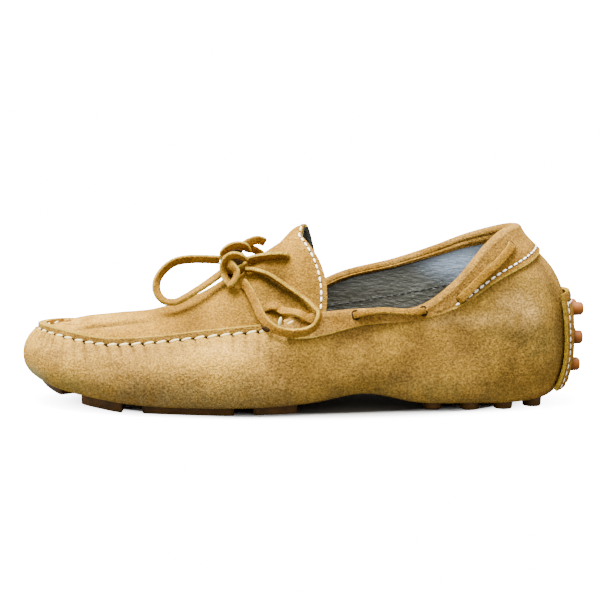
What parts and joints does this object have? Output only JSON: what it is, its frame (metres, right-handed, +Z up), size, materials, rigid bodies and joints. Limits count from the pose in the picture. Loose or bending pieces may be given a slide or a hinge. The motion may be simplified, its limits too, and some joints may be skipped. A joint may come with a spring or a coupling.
{
  "type": "driving moccasin",
  "caption": "Left driving moccasin: hollow suede hull gathered onto an apron with a tongue flap, folded collar band, thong bow, and rubber pads under the forefoot and heel and up the back.",
  "frame": {"origin": "on the floor, in the middle of the box of the shoe without its bow", "axes": "+X from toe to heel, -Y to the outer side of the foot, +Z up"},
  "size_m": [0.278, 0.095, 0.0888],
  "materials": {
    "suede": "camel suede with an open nap",
    "lace": "suede thong with raw edges",
    "rubber": "matt moulded gum rubber",
    "insole": "smooth blue-grey lining leather"
  },
  "bodies": {
    "root": {"upper": "suede", "apron": "suede", "collar_band": "suede", "heel_tab": "suede", "heel_studs": "rubber", "sole_forefoot": "rubber", "sole_heel": "rubber", "insole": "insole", "lace_bar_front_outer": "lace", "lace_bar_front_inner": "lace", "lace_bar_side_outer": "lace", "lace_bar_side_inner": "lace", "lace_bar_heel_outer": "lace", "lace_bar_heel_inner": "lace", "lace_knot": "lace", "lace_loop_toe": "lace", "lace_loop_heel": "lace", "lace_end_near": "lace", "lace_end_far": "lace"}
  },
  "joints": []
}
